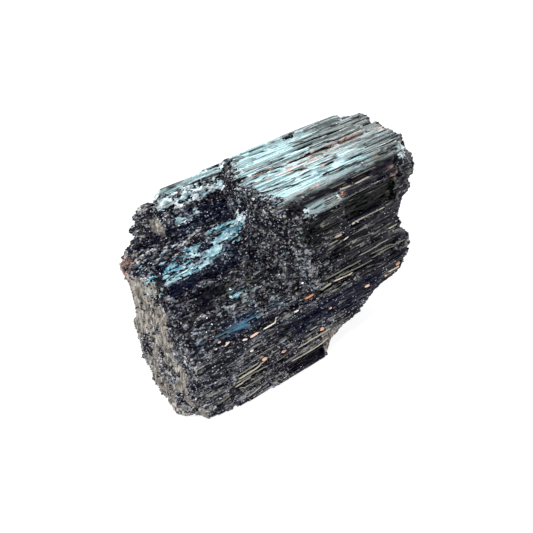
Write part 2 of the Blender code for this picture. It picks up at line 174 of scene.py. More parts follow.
# Black cracks of the top, in millimetres: half thickness, then X and Y of each place.
TOP_CRACKS = [
    (0.2, (23.2, 14.6), (32.1, 14.5)),
    (0.26, (13.4, 11.2), (18.4, 10.8), (23.9, 11.1), (29.2, 10.8)),
    (0.2, (14.3, 9.7), (18.3, 9.7)),
    (0.34, (15.2, 6.3), (17.8, 6.2), (21.4, 5.5)),
    (0.24, (23.8, 6.7), (27.8, 7.2), (31.4, 6.5)),
    (0.34, (-1.9, 7.4), (0.6, 7.5), (2.9, 7.2)),
    (0.24, (2.9, 7.2), (6.4, 5.9)),
    (0.26, (7.8, 6.5), (12.1, 6.4), (15.2, 6.2)),
    (0.24, (5.4, 2.8), (8.5, 2.0), (9.9, 1.3)),
    (0.22, (5.8, -1.1), (8.4, -1.0)),
    (0.22, (-6.6, 7.8), (-3.4, 7.9)),
    (0.22, (19.0, -1.5), (26.7, -2.1), (36.4, -2.0)),
    (0.18, (27.6, 0.4), (38.0, -0.1)),
    (0.22, (27.7, -4.5), (33.9, -4.5)),
    (0.55, (14.2, 15.4), (16.2, 15.5)),
    (0.36, (15.8, 16.2), (17.6, 16.4)),
    (0.3, (33.4, 14.8), (35.6, 14.8)),
    (0.18, (-6.0, 0.2), (-0.6, -0.9)),
    (0.2, (9.9, -2.8), (13.9, -3.4), (17.6, -3.0)),
    (0.16, (27.0, 15.9), (32.1, 16.1)),
    (0.18, (1.5, 5.4), (4.6, 4.8)),
    (0.16, (-4.9, 4.7), (-3.2, 4.3)),
    (0.16, (0.6, -1.4), (4.3, -2.2)),
    (0.16, (13.8, -0.2), (16.5, 0.0)),
    (0.18, (-1.7, 4.3), (0.2, 4.9)),
    (0.16, (16.0, 3.6), (18.4, 3.6)),
]

BLACK_LINES = [(BLACK, *crack) for crack in TOP_CRACKS]

# Lines and rusty specks of the top: colour, half thickness, then X and Y of each place.
TOP_LINES = [
    (0.45, 0.16, (9.8, -6.6), (14.5, -6.6)),
    (0.45, 0.16, (16.5, -6.5), (24.6, -6.3)),
    (0.4, 0.15, (20.8, -5.0), (27.0, -5.4), (33.0, -4.9)),
    (0.62, 0.26, (12.3, -7.5), (15.4, -7.6)),
    (0.66, 0.26, (16.8, -7.6), (21.6, -7.5)),
    (0.86, 0.34, (9.3, 2.3), (11.4, 2.7)),
    (0.92, 0.42, (11.0, 3.4), (13.4, 3.2)),
    (0.84, 0.3, (12.6, 2.1), (14.4, 2.4)),
    (0.9, 0.36, (5.4, 4.1), (7.1, 4.5)),
    (0.9, 0.36, (12.7, 5.0), (14.1, 5.4)),
    (0.84, 0.28, (14.5, 4.6), (15.4, 4.7)),
    (0.84, 0.36, (12.5, 0.3), (13.3, -0.2)),
    (0.82, 0.34, (3.1, 9.5), (3.9, 9.5)),
    (0.9, 0.3, (0.2, 8.3), (1.0, 8.3)),
    (0.86, 0.28, (17.2, 4.8), (18.2, 4.8)),
    (0.88, 0.3, (7.1, -4.8), (8.0, -4.7)),
    (0.88, 0.28, (8.4, 5.2), (9.1, 5.1)),
]

# Camera: the photograph's viewing angle. Lens, distance and target are in millimetres.
CAMERA_AZIMUTH = -38.0
CAMERA_ELEVATION = 40.0
CAMERA_LENS = 48.0
CAMERA_DISTANCE = 175.0
CAMERA_TARGET = (-4.02, -0.32, 20.0)

# Floor and lights, in metres. Each light: name, azimuth, elevation, distance, size, watts and colour.
FLOOR_SIZE = 4.0
FLOOR_GAP = 0.0001  # the floor is this far under the stone
LIGHT_TARGET_HEIGHT = 0.02
LIGHTS = [
    ("back_softbox", 142, 42, 0.42, 0.34, 1.7, (0.93, 0.98, 1.0)),
    ("left_softbox", -100, 35, 0.5, 0.3, 0.8, (1.0, 0.99, 0.96)),
    ("right_softbox", 60, 30, 0.6, 0.3, 0.5, (1.0, 1.0, 1.0)),
    ("key", -75, 55, 0.5, 0.06, 1.4, (1.0, 0.99, 0.97)),
]


# Numbers: hashed cells give every rib and facet its own level and tilt.


def hashed(cells, seed):
    """A number from 0 to 1 for each row of whole numbers."""
    factors = (73856093, 19349663, 83492791)
    mixed = np.full(len(cells), (seed * 2654435761 + 97) & 0xFFFFFFFF, dtype=np.uint64)
    for axis in range(cells.shape[1]):
        mixed ^= (cells[:, axis].astype(np.int64) * factors[axis]).astype(np.uint64) & 0xFFFFFFFF
    for shift, factor in ((16, 0x45D9F3B), (15, 0x2C1B3C6D), (16, 0x45D9F3B)):
        mixed = ((mixed ^ (mixed >> shift)) * factor) & 0xFFFFFFFF
    return (mixed ^ (mixed >> 13)).astype(np.float64) / 0xFFFFFFFF


def step(low, high, value):
    """0 below low, 1 above high, and smooth between them. It falls where low is above high."""
    share = np.clip((value - low) / (high - low), 0.0, 1.0)
    return share * share * (3 - 2 * share)


def between(low, high, value, soft):
    """1 from low to high, and 0 outside, with soft edges."""
    return step(low - soft, low + soft, value) * step(high + soft, high - soft, value)


def facets(points, size, seed, tilt=1.0):
    """The level of a broken surface: every jittered cell is one small tilted facet."""
    home = np.floor(points / size).astype(np.int64)
    nearest = np.full(len(points), np.inf)
    level = np.zeros(len(points))
    for offset in itertools.product((-1, 0, 1), repeat=3):
        cell = home + offset
        jitter = np.stack([hashed(cell, seed + axis) for axis in range(3)], axis=1)
        away = points / size - (cell + jitter)
        distance = (away * away).sum(axis=1)
        lean = np.stack([hashed(cell, seed + 3 + axis) - 0.5 for axis in range(3)], axis=1)
        value = hashed(cell, seed + 6) - 0.5 + tilt * (away * lean).sum(axis=1)
        closer = distance < nearest
        nearest = np.where(closer, distance, nearest)
        level = np.where(closer, value, level)
    return level


def cloud(points, size, seed):
    """Smooth noise from 0 to 1."""
    place = points / size
    home = np.floor(place).astype(np.int64)
    part = place - home
    part = part * part * (3 - 2 * part)
    total = np.zeros(len(points))
    for offset in itertools.product((0, 1), repeat=3):
        weight = np.prod(np.where(np.array(offset), part, 1 - part), axis=1)
        total += weight * hashed(home + offset, seed)
    return total


def ribs(along, across, width, run, seed):
    """The level of straight ribs: each is about width wide, and changes its level about every run."""
    wander = hashed(np.floor(across / (2.7 * width)).astype(np.int64)[:, None], seed + 1)
    line = np.floor(across / (width * (0.75 + 0.5 * wander))).astype(np.int64)
    start = hashed(line[:, None], seed + 2) * 9
    pace = run * (0.5 + hashed(line[:, None], seed + 3))
    piece = np.floor(along / pace + start).astype(np.int64)
    return hashed(np.stack([line, piece], axis=1), seed + 4) - 0.5


def near_lines(p, here, axes, lines, widen, drop=0.0):
    """1 on the lines, and 0 beyond their half thickness and the widening. A drop lowers the lines."""
    flat = p[here][:, axes]
    near = np.zeros(len(flat))
    for _, half, *places in lines:
        for start, end in zip(places[:-1], places[1:]):
            start, run = np.array(start) - (0, drop), np.array(end) - np.array(start)
            along = np.clip(((flat - start) @ run) / (run @ run), 0, 1)
            away = np.linalg.norm(flat - start - along[:, None] * run, axis=1)
            near = np.maximum(near, step(half + widen, 0.5 * (half + widen), away))
    share = np.zeros(len(p))
    share[here] = near
    return share


# Zones of the stone, each from 0 to 1 at the given points.


def wall_x(y):
    """Where the wall that ends the large break stands, for each depth."""
    return np.interp(y, [-17, -9.5, -5, 0, 8, 12, 17], [8.0, 1.0, -4.8, -8.2, -7.8, -6.2, -2.5])


def broken_corner(p):
    """The large break at the upper left, with its wall."""
    right = wall_x(p[:, 1]) + 3.2
    lower = np.interp(p[:, 1], [-17, -13.4, -9, 9], [17, 17.4, 18, 20])
    return step(right + 1.0, right - 1.0, p[:, 0]) * step(lower - 1.0, lower + 1.0, p[:, 2])


def lip(p):
    """The crumbly lip down the front where the large break ends."""
    x, y, z = p.T
    middle = np.interp(z, [18, 22.5, 26, 32, 38], [2.5, 0.5, -0.8, -1.5, -2.6])
    return step(2.2, 0.8, np.abs(x - middle)) * step(-6, -7.5, y) * between(18.5, 38.5, z, 0.8)


def cracks(p, n, widen=0.15):
    """The black cracks of the top."""
    on_top = (n[:, 2] > 0.3) & (p[:, 2] > 38.5)
    return near_lines(p, on_top, [0, 1], BLACK_LINES, widen)


def grooves(p, n, widen=0.2, drop=0.55):
    """The grooves just under the lines of the front."""
    on_front = (n[:, 1] < -0.4) & (p[:, 1] < -7)
    return near_lines(p, on_front, [0, 2], FRONT_LINES, widen, drop)


def lines_clear(p, n):
    """0 where a line of the front or the top has to stay in sight, and 1 elsewhere."""
    return 1 - np.maximum(cracks(p, n, 0.5), grooves(p, n, 0.6, drop=0.1))


def lower_left(p):
    """The lower part of the front, at the left, which is broken and splintery."""
    return step(12, -8, p[:, 0]) * step(19, 16, p[:, 2]) * step(2, -2, p[:, 1])


def patch(p, x, y, z, soft=0.5):
    """1 inside a box of places, and 0 outside it."""
    share = between(*x, p[:, 0], soft) * between(*y, p[:, 1], soft)
    return share * between(*z, p[:, 2], soft)


def patches(p, listed, soft=0.5):
    """The strongest of several patches, each given as its strength and its three reaches."""
    return np.maximum.reduce([strength * patch(p, x, y, z, soft) for strength, x, y, z in listed])


def left_sheets(p, n):
    """The pale grey sheets of the left end, and small pale ones elsewhere."""
    x, y, z = p.T
    end = step(-0.3, -0.6, n[:, 0]) * step(-33, -34.5, x) * step(31.5, 30, z)
    ridge = between(-1.5, 1.7, y + 1.9 + 0.65 * (22.5 - z), 0.4) * step(24, 22.5, z)
    outer = step(1.0, 2.6, y - 0.12 * (z - 20)) * step(15.5, 17.0, z)
    cavity = between(9.8, 15.6, z, 0.7) * between(-0.8, 2.8, y, 0.6)
    under = between(6.2, 10.5, z, 0.7) * between(-6.0, -2.2, y, 0.6)
    crumbly = step(0.3, 0.6, cloud(p * (1, 1, 0.5), 1.6, 33))
    inner = (0.42 + 0.4 * crumbly) * step(-1.0, 1.0, y + 4.2 + 0.65 * (22.5 - z))
    end = end * np.maximum.reduce([ridge, 0.95 * outer, inner]) * (1 - 0.85 * np.maximum(cavity, under))
    small = [
        (0.75, (-28.4, -26.0), (8.6, 12.2), (35.6, 38.2)),
        (0.7, (-27.2, -25.8), (8.6, 12.2), (33.0, 35.8)),
        (0.9, (0.6, 4.4), (-20, -15), (1.2, 6.2)),
        (0.8, (8.5, 11.2), (-9.6, -7.8), (37.0, 38.9)),
        (0.6, (-10.5, 1.6), (-20, -16), (4.2, 5.3)),
        (0.8, (-23.8, -18.2), (-20, -10), (17.9, 19.4)),
        (0.5, (11.5, 23.5), (-8.4, -6.9), (38.6, 40.2)),
    ]
    return np.maximum(end, patches(p, small, 0.4))


def back_edge(p):
    """The smooth ribs left along the back of the large break."""
    return patch(p, (-27, -4), (15.6, 21), (37.2, 42), 0.6)


def rib_share(p, n):
    """How ribbed the surface is. The prism sides all run along X."""
    sides = step(0.5, 0.25, np.abs(n[:, 0]))
    front = 1 - 0.35 * step(-4, -8, p[:, 1])
    splintery = patch(p, (-32, -2), (-20, -4), (15, 27), 1.5)
    broken = np.maximum(broken_corner(p) * (0.8 - 0.4 * splintery), 0.8 * lip(p)) * (1 - back_edge(p))
    return sides * front * (1 - broken) * (1 - 0.15 * lower_left(p))


def crumb_share(p, n):
    """How crumbly the surface is."""
    top = step(0.6, 0.8, n[:, 2]) * step(36, 38, p[:, 2])
    sides = np.maximum.reduce([0.15 + 0.3 * lower_left(p), broken_corner(p), lip(p)])
    share = np.where(np.abs(n[:, 0]) > 0.4, 1.0, sides) * (1 - 0.85 * top * (1 - broken_corner(p)))
    return share * (1 - 0.7 * left_sheets(p, n)) * (1 - 0.8 * np.maximum(pocket(p), back_edge(p)))


def pocket(p):
    """The long hollow under the top edge, at the right of the front."""
    return patch(p, (12.5, 29.5), (-20, -7), (31.5, 37.6), 0.4)


def teal_share(p, n, on_breaks=1.0):
    """Where a blue-green sheen is painted, standing in for the light from behind mirrored by upward faces:
    all over the top, in two strips beside it, and in patches on the broken corner.
    """
    x, y, z = p.T
    upward = step(0.25, 0.9, n[:, 2])
    top = upward * step(-11, -6, x) * step(40.6, 41.5, z)
    top = top * (1 - 0.8 * patch(p, (13.5, 16.8), (14.6, 17.2), (41, 43)))
    top = top * (1 - 0.9 * cracks(p, n)) * (1 - broken_corner(p)) * (1 - 0.95 * step(36.0, 37.2, x))
    strips = [
        (0.68, (0.5, 13), (-9.2, -6.9), (37.4, 39.3)),
        (0.9, (-24, -3), (16.3, 20), (38.6, 41.2)),
    ]
    low_edge = np.interp(x, [-33, -24, -16, -9], [-1.9, -1.1, 0.3, 1.6])
    high_edge = np.interp(x, [-33, -28, -20, -11, -8], [1.6, 3.2, 5.2, 6.2, 6.2])
    slope = between(-32.5, -8, x, 1.2) * step(-0.3, 0.3, y - low_edge) * step(0.8, -0.8, y - high_edge)
    slope = slope * step(28, 29.3, z) * (0.72 + 0.28 * step(-27, -19, x))
    bench = [
        (1.0, (-25, -20.4), (12.4, 15.4), (37.8, 40)),
        (1.0, (-13.5, -6.5), (11.8, 15.8), (37.2, 39.8)),
        (0.75, (-20.4, -13.5), (12.2, 16.4), (37.0, 40.4)),
        (0.9, (-22.5, -15.5), (9.4, 11.4), (34.8, 36.9)),
        (0.9, (-19.5, -15), (-7.4, -5.4), (22.4, 24.5)),
        (0.6, (-36, -33.5), (-1, 2.5), (26, 28.5)),
        (0.42, (-37.5, -29), (-3, 5), (27, 33)),
    ]
    broken = np.maximum(slope, patches(p, bench))
    patchy = step(0.2, 0.42, cloud(p * (0.4, 1, 1), 1.5, 31))
    treads = step(-0.5, 0.2, n[:, 2]) * (0.25 + 0.75 * patchy)
    return np.maximum.reduce([top, patches(p, strips, 0.3), on_breaks * treads * broken])


def stain_share(p):
    """Rusty iron stain: along the cracks of the top, on the outer left corner, and under the top's edge."""
    x, y, z = p.T
    crack = between(-1, 33, x, 3.0) * step(1.2, 0.3, np.abs(y - 7.4 + 0.06 * x)) * step(39, 41, z)
    spots = [
        (1.0, (10.6, 14.6), (2.6, 5.4), (40, 43)),
        (0.9, (4.4, 10.0), (2.9, 4.4), (40, 43)),
        (0.8, (11.6, 14.4), (-0.8, 0.8), (40, 43)),
        (0.9, (1.6, 4.6), (8.7, 10.1), (40, 43)),
        (0.8, (7.2, 9.2), (1.0, 2.6), (40, 43)),
        (0.9, (36, 39), (4, 6.6), (40, 43)),
        (0.9, (6.6, 9.4), (-5.2, -4.0), (40, 43)),
        (0.9, (10.4, 11.8), (-9.8, -8.6), (39.2, 41)),
        (0.55, (-39, -35.6), (6.5, 13), (29, 33)),
        (0.85, (28.6, 30.2), (-20, -6.4), (36.2, 39.4)),
    ]
    return np.maximum(0.55 * crack, patches(p, spots, 0.4))


def grit_share(p, n):
    """How many pale grains show in the black: 0 for none, and 0.5 for a mean share. It is lowered in painted
    shade.
    """
    x, y, z = p.T
    front = step(-1.0, -4.0, y)
    right_face = front * step(2, 7, x) * step(16.5, 18, z)
    share = 0.42 + 0.06 * lower_left(p) - 0.2 * right_face
    share = np.where(np.abs(n[:, 0]) > 0.6, np.where(x > 0, 0.4, 0.5), share)
    wall = step(1.6, -1.6, np.abs(x - wall_x(y) - 1.6)) * step(19, 21, z)
    share = np.maximum(share, broken_corner(p) * (0.42 + 0.08 * wall))
    share = share + 0.1 * patch(p, (-16, 3), (-20, -7), (17.5, 28), 1.0)
    share = np.maximum(share, 0.48 * lip(p))
    share = np.maximum(share, 0.52 * patch(p, (10.5, 28.5), (-10.5, -7.6), (37.3, 39.8), 0.4))
    # Painted shade: the back gets fewer pale grains, because the strong back light falls on it.
    back = (y > 8) & ((n[:, 1] > 0.4) | (x > -33) & (z < 30)) | (y > 15.5) & (z < 38)
    share = np.where(back, 0.26, share)
    # Places with fewer pale grains; most are painted shade, on faces turned from the light, in hollows,
    # under ledges and at the foot.
    dark = [
        (0.9, (-4, 31), (-20, -6.2), (39.2, 41.0)),
        (0.9, (-2, 7), (-20, -9), (32.4, 36.6)),
        (0.8, (-9.5, 0.4), (-20, -15), (0.6, 4.0)),
        (0.5, (-16.5, -9.5), (9.4, 11.6), (34.4, 36.6)),
        (0.7, (-24, -21.4), (10.2, 12.2), (36.2, 38)),
        (0.4, (-25, -12), (6.2, 9.4), (33, 35.4)),
        (0.5, (-30, -13), (-2.4, -0.9), (26.6, 29.4)),
        (0.35, (-38.5, -29.5), (-3, 9), (24, 33)),
        (0.5, (-14, 8), (-20, -12), (10, 14.5)),
        (0.7, (-28.5, -19), (-7.5, -3.2), (22.6, 26.4)),
        (0.5, (8, 30), (-20, -12), (10, 17.8)),
        (0.5, (36, 40), (-20, 20), (30, 43)),
    ]
    # The pocket is darker too, as painted shade in its hollow.
    return share * (1 - np.maximum(patches(p, dark), 0.6 * pocket(p)))


def blue_share(p):
    """How blue the black is: navy in hollows and low on the front, and olive in the pocket."""
    share = 0.12 + 0.5 * cloud(p * (0.3, 1, 1), 5.0, 37)
    navy = [
        (0.8, (-25, -8), (6, 12), (33, 38)),
        (0.85, (-32.5, -12), (-2.6, 4), (25.4, 33)),
        (1.0, (-26, -15), (-20, -9), (16.4, 20.9)),
        (1.0, (-13.5, -10), (-20, -14), (8.6, 10.8)),
        (0.8, (-8, 24), (-20, -12), (8.5, 16)),
    ]
    share = np.maximum(share, patches(p, navy, 1.0))
    return share * (1 - pocket(p)) * (1 - patch(p, (-3, 8), (-20, -9), (31, 37), 1.0))


def broken_places(p, n):
    """Where crumbs lie: on the breaks, clear of the lines."""
    return crumb_share(p, n) ** 1.5 * lines_clear(p, n)


def rib_places(p, n):
    """Where laths lie: on the prism sides, clear of the lines and the pale sheets."""
    clear = lines_clear(p, n) * (1 - left_sheets(p, n))
    return rib_share(p, n) * step(0.35, 0.15, np.abs(n[:, 0])) * clear


# Meshes


def placed(name, data):
    """A new object in the scene."""
    thing = bpy.data.objects.new(name, data)
    bpy.context.scene.collection.objects.link(thing)
    return thing


def dressed(piece, material):
    """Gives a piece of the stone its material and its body."""
    piece.data.materials.clear()
    piece.data.materials.append(material)
    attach(piece, "root")
    return piece


def inside_box(places):
    """The places, held inside the CAD solid's box."""
    low, high = (np.array(corner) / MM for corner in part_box(STONE))
    return np.clip(places, low, high)


def new_piece(name, places, faces, material):
    mesh = bpy.data.meshes.new(name)
    mesh.from_pydata((inside_box(places) * MM).tolist(), [], np.array(faces).tolist())
    mesh.validate()
    return dressed(placed(name, mesh), material)


def vectors(items, name):
    """The three numbers that each item keeps under this name."""
    flat = np.empty(len(items) * 3)
    items.foreach_get(name, flat)
    return flat.reshape(-1, 3)


def positions(mesh):
    return vectors(mesh.vertices, "co") / MM


def normals(mesh):
    return vectors(mesh.vertex_normals, "vector")


def move(mesh, places):
    mesh.vertices.foreach_set("co", (inside_box(places) * MM).ravel())


def modified(mesh, kind, **settings):
    """The mesh that one modifier of this kind makes of it."""
    scratch = placed("scratch", mesh)
    modifier = scratch.modifiers.new(kind, kind)
    for name, value in settings.items():
        setattr(modifier, name, value)
    graph = bpy.context.evaluated_depsgraph_get()
    result = bpy.data.meshes.new_from_object(scratch.evaluated_get(graph))
    bpy.data.objects.remove(scratch)
    return result


def paint(mesh, **shares):
    """Stores each share on the mesh's vertices, for its material to read."""
    for name, values in shares.items():
        layer = mesh.attributes.new(name, "FLOAT", "POINT")
        layer.data.foreach_set("value", np.asarray(values, dtype=np.float32))


def paint_zones(mesh, p, n, ridge, stain=1.0, on_breaks=1.0):
    """Paints every zone at the given points, with a share of its stain and of the painted sheen of the
    breaks.
    """
    paint(
        mesh,
        ridge=ridge,
        teal=teal_share(p, n, on_breaks),
        stain=stain * stain_share(p),
        ribbed=rib_share(p, n),
        sheet=left_sheets(p, n),
        seam=np.zeros(len(p)),
        grit=grit_share(p, n),
        blue=blue_share(p),
    )


def ridges(mesh, p, n):
    """How far each vertex stands out of the smoothed surface around it: 0 in hollows, and 1 on ridges. The
    material paints hollows darker and ridges lighter from it, as painted shade and light.
    """
    ends = np.empty(len(mesh.edges) * 2, dtype=np.int64)
    mesh.edges.foreach_get("vertices", ends)
    first, second = ends.reshape(-1, 2).T
    near = np.bincount(first, minlength=len(p)) + np.bincount(second, minlength=len(p))
    smooth = p.copy()
    for _ in range(SMOOTHING_ROUNDS):
        for axis in range(3):
            total = np.bincount(first, smooth[second, axis], len(p))
            total += np.bincount(second, smooth[first, axis], len(p))
            smooth[:, axis] = 0.5 * smooth[:, axis] + 0.5 * total / np.maximum(near, 1)
    return step(-RIDGE_HEIGHT, RIDGE_HEIGHT, ((p - smooth) * n).sum(axis=1))


def relief(p, n):
    """How far the fine surface stands out of the solid, in millimetres."""
    across = np.where(np.abs(n[:, 2]) > np.abs(n[:, 1]), p[:, 1], p[:, 2])
    coarse = 1 - 0.55 * step(0.6, 0.8, n[:, 2]) * step(38, 39, p[:, 2])
    ribbed = WIDE_RIB_HEIGHT * coarse * ribs(p[:, 0], across, width=1.25, run=14.0, seed=40)
    ribbed += FINE_RIB_HEIGHT * ribs(p[:, 0], across, width=0.62, run=9.0, seed=50)
    ribbed += SPLINTER_HEIGHT * coarse * facets(p * (0.09, 1, 1), 0.9, 60, tilt=0.7)
    ribbed -= SLOT_DEPTH * (ribs(p[:, 0], across, width=0.5, run=8.0, seed=90) > 0.43)
    crumbled = np.zeros(len(p))
    for height, stretch, size, seed in FACET_LAYERS:
        crumbled += height * facets(p * stretch, size, seed)
    level = rib_share(p, n) * ribbed + crumb_share(p, n) * crumbled + LIP_HEIGHT * lip(p)
    return level - CRACK_DEPTH * cracks(p, n) - GROOVE_DEPTH * grooves(p, n)


def fine_stone(solid, material):
    """The whole stone with its fine relief, in place of the CAD solid."""
    mesh = solid.data.copy()
    mesh.transform(solid.matrix_world)
    mesh = modified(mesh, "REMESH", mode="VOXEL", voxel_size=VOXEL * MM)
    p, n = positions(mesh), normals(mesh)
    moved = p + n * relief(p, n)[:, None]
    # The strips that the stone rests on stay flat.
    resting = (p[:, 2] < 0.3) & (n[:, 2] < -0.7) & (moved[:, 2] < 0.25)
    moved[:, 2] = np.where(resting, p[:, 2], moved[:, 2])
    move(mesh, moved)
    triangles = sum(len(face.vertices) - 2 for face in mesh.polygons)
    mesh = modified(mesh, "DECIMATE", ratio=min(1.0, STONE_TRIANGLES / triangles))
    move(mesh, positions(mesh))
    mesh.name = "fine_stone"
    mesh.shade_smooth()
    mesh.set_sharp_from_angle(angle=SMOOTH_ANGLE)
    p, n = positions(mesh), normals(mesh)
    paint_zones(mesh, p, n, ridges(mesh, p, n))
    stone = dressed(placed("fine_stone", mesh), material)
    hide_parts(STONE)
    return stone


def surface_tree(piece):
    """The piece's surface in millimetres, for rays to find."""
    corners = [Vector(place) for place in positions(piece.data)]
    return BVHTree.FromPolygons(corners, [tuple(face.vertices) for face in piece.data.polygons])


def surface_samples(mesh, count, rng, share):
    """Random points of the mesh and their normals, by area times share(points, normals)."""
    mesh.calc_loop_triangles()
    corners = np.empty(len(mesh.loop_triangles) * 3, dtype=np.int32)
    mesh.loop_triangles.foreach_get("vertices", corners)
    p = positions(mesh)[corners.reshape(-1, 3)]
    cross = np.cross(p[:, 1] - p[:, 0], p[:, 2] - p[:, 0])
    double_area = np.linalg.norm(cross, axis=1)
    n = cross / np.maximum(double_area, 1e-9)[:, None]
    weight = double_area * share(p.mean(axis=1), n)
    chosen = rng.choice(len(weight), size=count, p=weight / weight.sum())
    a, b = np.sqrt(rng.random(count)), rng.random(count)
    shares = np.stack([1 - a, a * (1 - b), a * b], axis=1)
    return (shares[:, :, None] * p[chosen]).sum(axis=1), n[chosen]


CORNERS = np.array(list(itertools.product((-1, 1), repeat=3)), dtype=float)
BOX_FACES = np.array([(0, 1, 3, 2), (4, 6, 7, 5), (0, 4, 5, 1), (2, 3, 7, 6), (0, 2, 6, 4), (1, 5, 7, 3)])
ALONG = Vector((1, 0, 0))


def small_blocks(name, blocks, tones, material, on_breaks):
    """One piece of many small blocks of eight corners, each painted as the stone where it stands."""
    blocks = np.array(blocks)
    faces = (BOX_FACES[None] + 8 * np.arange(len(blocks))[:, None, None]).reshape(-1, 4)
    piece = new_piece(name, blocks.reshape(-1, 3), faces, material)
    mesh = piece.data
    bm = bmesh.new()
    bm.from_mesh(mesh)
    bmesh.ops.recalc_face_normals(bm, faces=bm.faces)
    bm.to_mesh(mesh)
    bm.free()
    centre = np.repeat(positions(mesh).reshape(-1, 8, 3).mean(axis=1), 8, axis=0)
    facing = np.tile(BLOCK_FACING, (len(centre), 1))
    # Each block's ridge share comes from its tone; mostly above the middle, it paints the block lighter, as
    # painted light on a ridge.
    low, high = BLOCK_RIDGE
    ridge = low + (high - low) * np.repeat(np.asarray(tones), 8)
    paint_zones(mesh, centre, facing, ridge, BLOCK_STAIN, on_breaks)


def reach(tree, spot, up, direction, longest):
    """How far a lath from the spot can run before the surface leaves its line."""
    last, length = 0.0, 0.0
    while length < longest:
        start = spot + direction * (length + PROBE_PACE) + up * PROBE_HEIGHT
        depth = tree.ray_cast(start, -up, 2 * PROBE_HEIGHT)[3]
        if depth is None:
            break
        drop = depth - PROBE_HEIGHT
        if abs(drop - last) > PROBE_STEP or abs(drop) > PROBE_DRIFT:
            break
        last = drop
        length += PROBE_PACE
    return max(length - PROBE_MARGIN, 0.0)


def lath_block(middle, up, half, wide, high, taper):
    """The corners of a straight bar along X that is sunk in the stone."""
    side = ALONG.cross(up)
    corners = []
    for cx, cy, cz in CORNERS:
        narrow = taper[0] if cx < 0 else taper[1]
        inset = LATH_RIDGE if cz > 0 else 1.0
        level = high if cz > 0 else -LATH_ROOT
        end = ALONG * cx * (half - LATH_BEVEL * (cz > 0))
        flank = side * cy * wide * narrow * inset
        corners.append(middle + end + flank + up * level)
    return corners


def laths(name, stone, tree, material):
    """Single ribs, each a straight bar along X that lies on a prism side."""
    rng = np.random.default_rng(LATH_SEED)
    spots, facing = surface_samples(stone.data, LATH_COUNT, rng, rib_places)
    shortest, longest = LATH_LENGTH
    nearest, farthest = LATH_REACH
    blocks, tones = [], []
    for spot, normal, tone in zip(spots, facing, rng.random(LATH_COUNT)):
        up = Vector((0, normal[1], normal[2])).normalized()
        spot = Vector(spot)
        most = longest * (nearest + (farthest - nearest) * rng.random())
        left, right = reach(tree, spot, up, -ALONG, most), reach(tree, spot, up, ALONG, most)
        if left + right < shortest:
            continue
        middle = spot + ALONG * (right - left) / 2
        on_top = normal[2] > 0.6
        wide = rng.uniform(*LATH_WIDTH) / 2 * (LATH_WIDTH_ON_TOP if on_top else 1.0)
        high = rng.uniform(*LATH_RISE)
        taper = rng.uniform(*LATH_TAPER, size=2)
        blocks.append(lath_block(middle, up, (left + right) / 2, wide, high, taper))
        tones.append(tone)
    small_blocks(name, blocks, tones, material, 0.0)


def nearby(levels, count, choose):
    """The lowest or highest of each level and of count neighbours on either side."""
    window = np.pad(levels, count, mode="edge")
    return choose([window[k : k + len(levels)] for k in range(2 * count + 1)], axis=0)


def top_path(tree, x, y, half):
    """Places along a line of the top, at the highest level of the stone near it."""
    down = Vector((0, 0, -1))
    rows = [
        [tree.ray_cast(Vector((a, b + shift, ABOVE)), down)[0].z for a, b in zip(x, y)]
        for shift in THREAD_BESIDE
    ]
    level = nearby(np.max(rows, axis=0), 1, np.max)
    return np.stack([x, y, level - TOP_THREAD_SUNK * half], axis=1)


def front_path(tree, x, z, half):
    """Places along a line of the front, at the foremost level of the stone near it."""
    back = Vector((0, 1, 0))
    level = [tree.ray_cast(Vector((a, BEFORE, b)), back)[0].y for a, b in zip(x, z)]
    level = nearby(level, 3, np.min)
    return np.stack([x, level - FRONT_THREAD_SUNK * half, z], axis=1)


def threads(name, lines, path, tree, material):
    """Thin four-sided bars that follow the surface along the lines."""
    vertices, faces, colours = [], [], []
    for colour, half, *places in lines:
        places = np.array(places)
        run = np.abs(np.diff(places[:, 0])).sum()
        x = np.linspace(places[0, 0], places[-1, 0], 3 + int(run / THREAD_PACE))
        spots = path(tree, x, np.interp(x, places[:, 0], places[:, 1]), half)
        first, last = len(vertices), len(vertices) + 4 * (len(spots) - 1)
        for k, spot in enumerate(spots):
            thick = half * (THREAD_END if k in (0, len(spots) - 1) else 1.0)
            vertices += [spot + (0, dy * thick, dz * thick) for dy, dz in ((-1, 0), (0, 1), (1, 0), (0, -1))]
        for start in range(first, last, 4):
            for side in range(4):
                a, b = start + side, start + (side + 1) % 4
                faces.append((a, b, b + 4, a + 4))
        faces += [(first + 3, first + 2, first + 1, first), (last, last + 1, last + 2, last + 3)]
        colours += [colour] * 4 * len(spots)
    piece = new_piece(name, np.array(vertices), faces, material)
    no = np.zeros(len(vertices))
    paint(piece.data, teal=no, stain=no, ribbed=no, sheet=no, grit=no, blue=no, ridge=no, seam=colours)


def crumbs(name, stone, material):
    """Angular grains, each a small skewed block half sunk in a broken face."""
    rng = np.random.default_rng(CRUMB_SEED)
    spots, facing = surface_samples(stone.data, CRUMB_COUNT, rng, broken_places)
    small, large = CRUMB_SIZE
    size = small + (large - small) * rng.random(CRUMB_COUNT) ** CRUMB_FEWER_LARGE
    turn = np.linalg.qr(rng.normal(size=(CRUMB_COUNT, 3, 3)))[0]
    skew = 1 + CRUMB_SKEW * (rng.random((CRUMB_COUNT, 8, 3)) - 0.5)
    shape = CORNERS[None] * skew * rng.uniform(*CRUMB_SIDES, (CRUMB_COUNT, 1, 3))
    shape = np.einsum("kij,kvj->kvi", turn, shape) * (size * 0.5)[:, None, None]
    shape = shape * CRUMB_STRETCH
    blocks = spots[:, None] - facing[:, None] * (size * CRUMB_SUNK)[:, None, None] + shape
    small_blocks(name, blocks, rng.random(CRUMB_COUNT), material, 1.0)


# Material


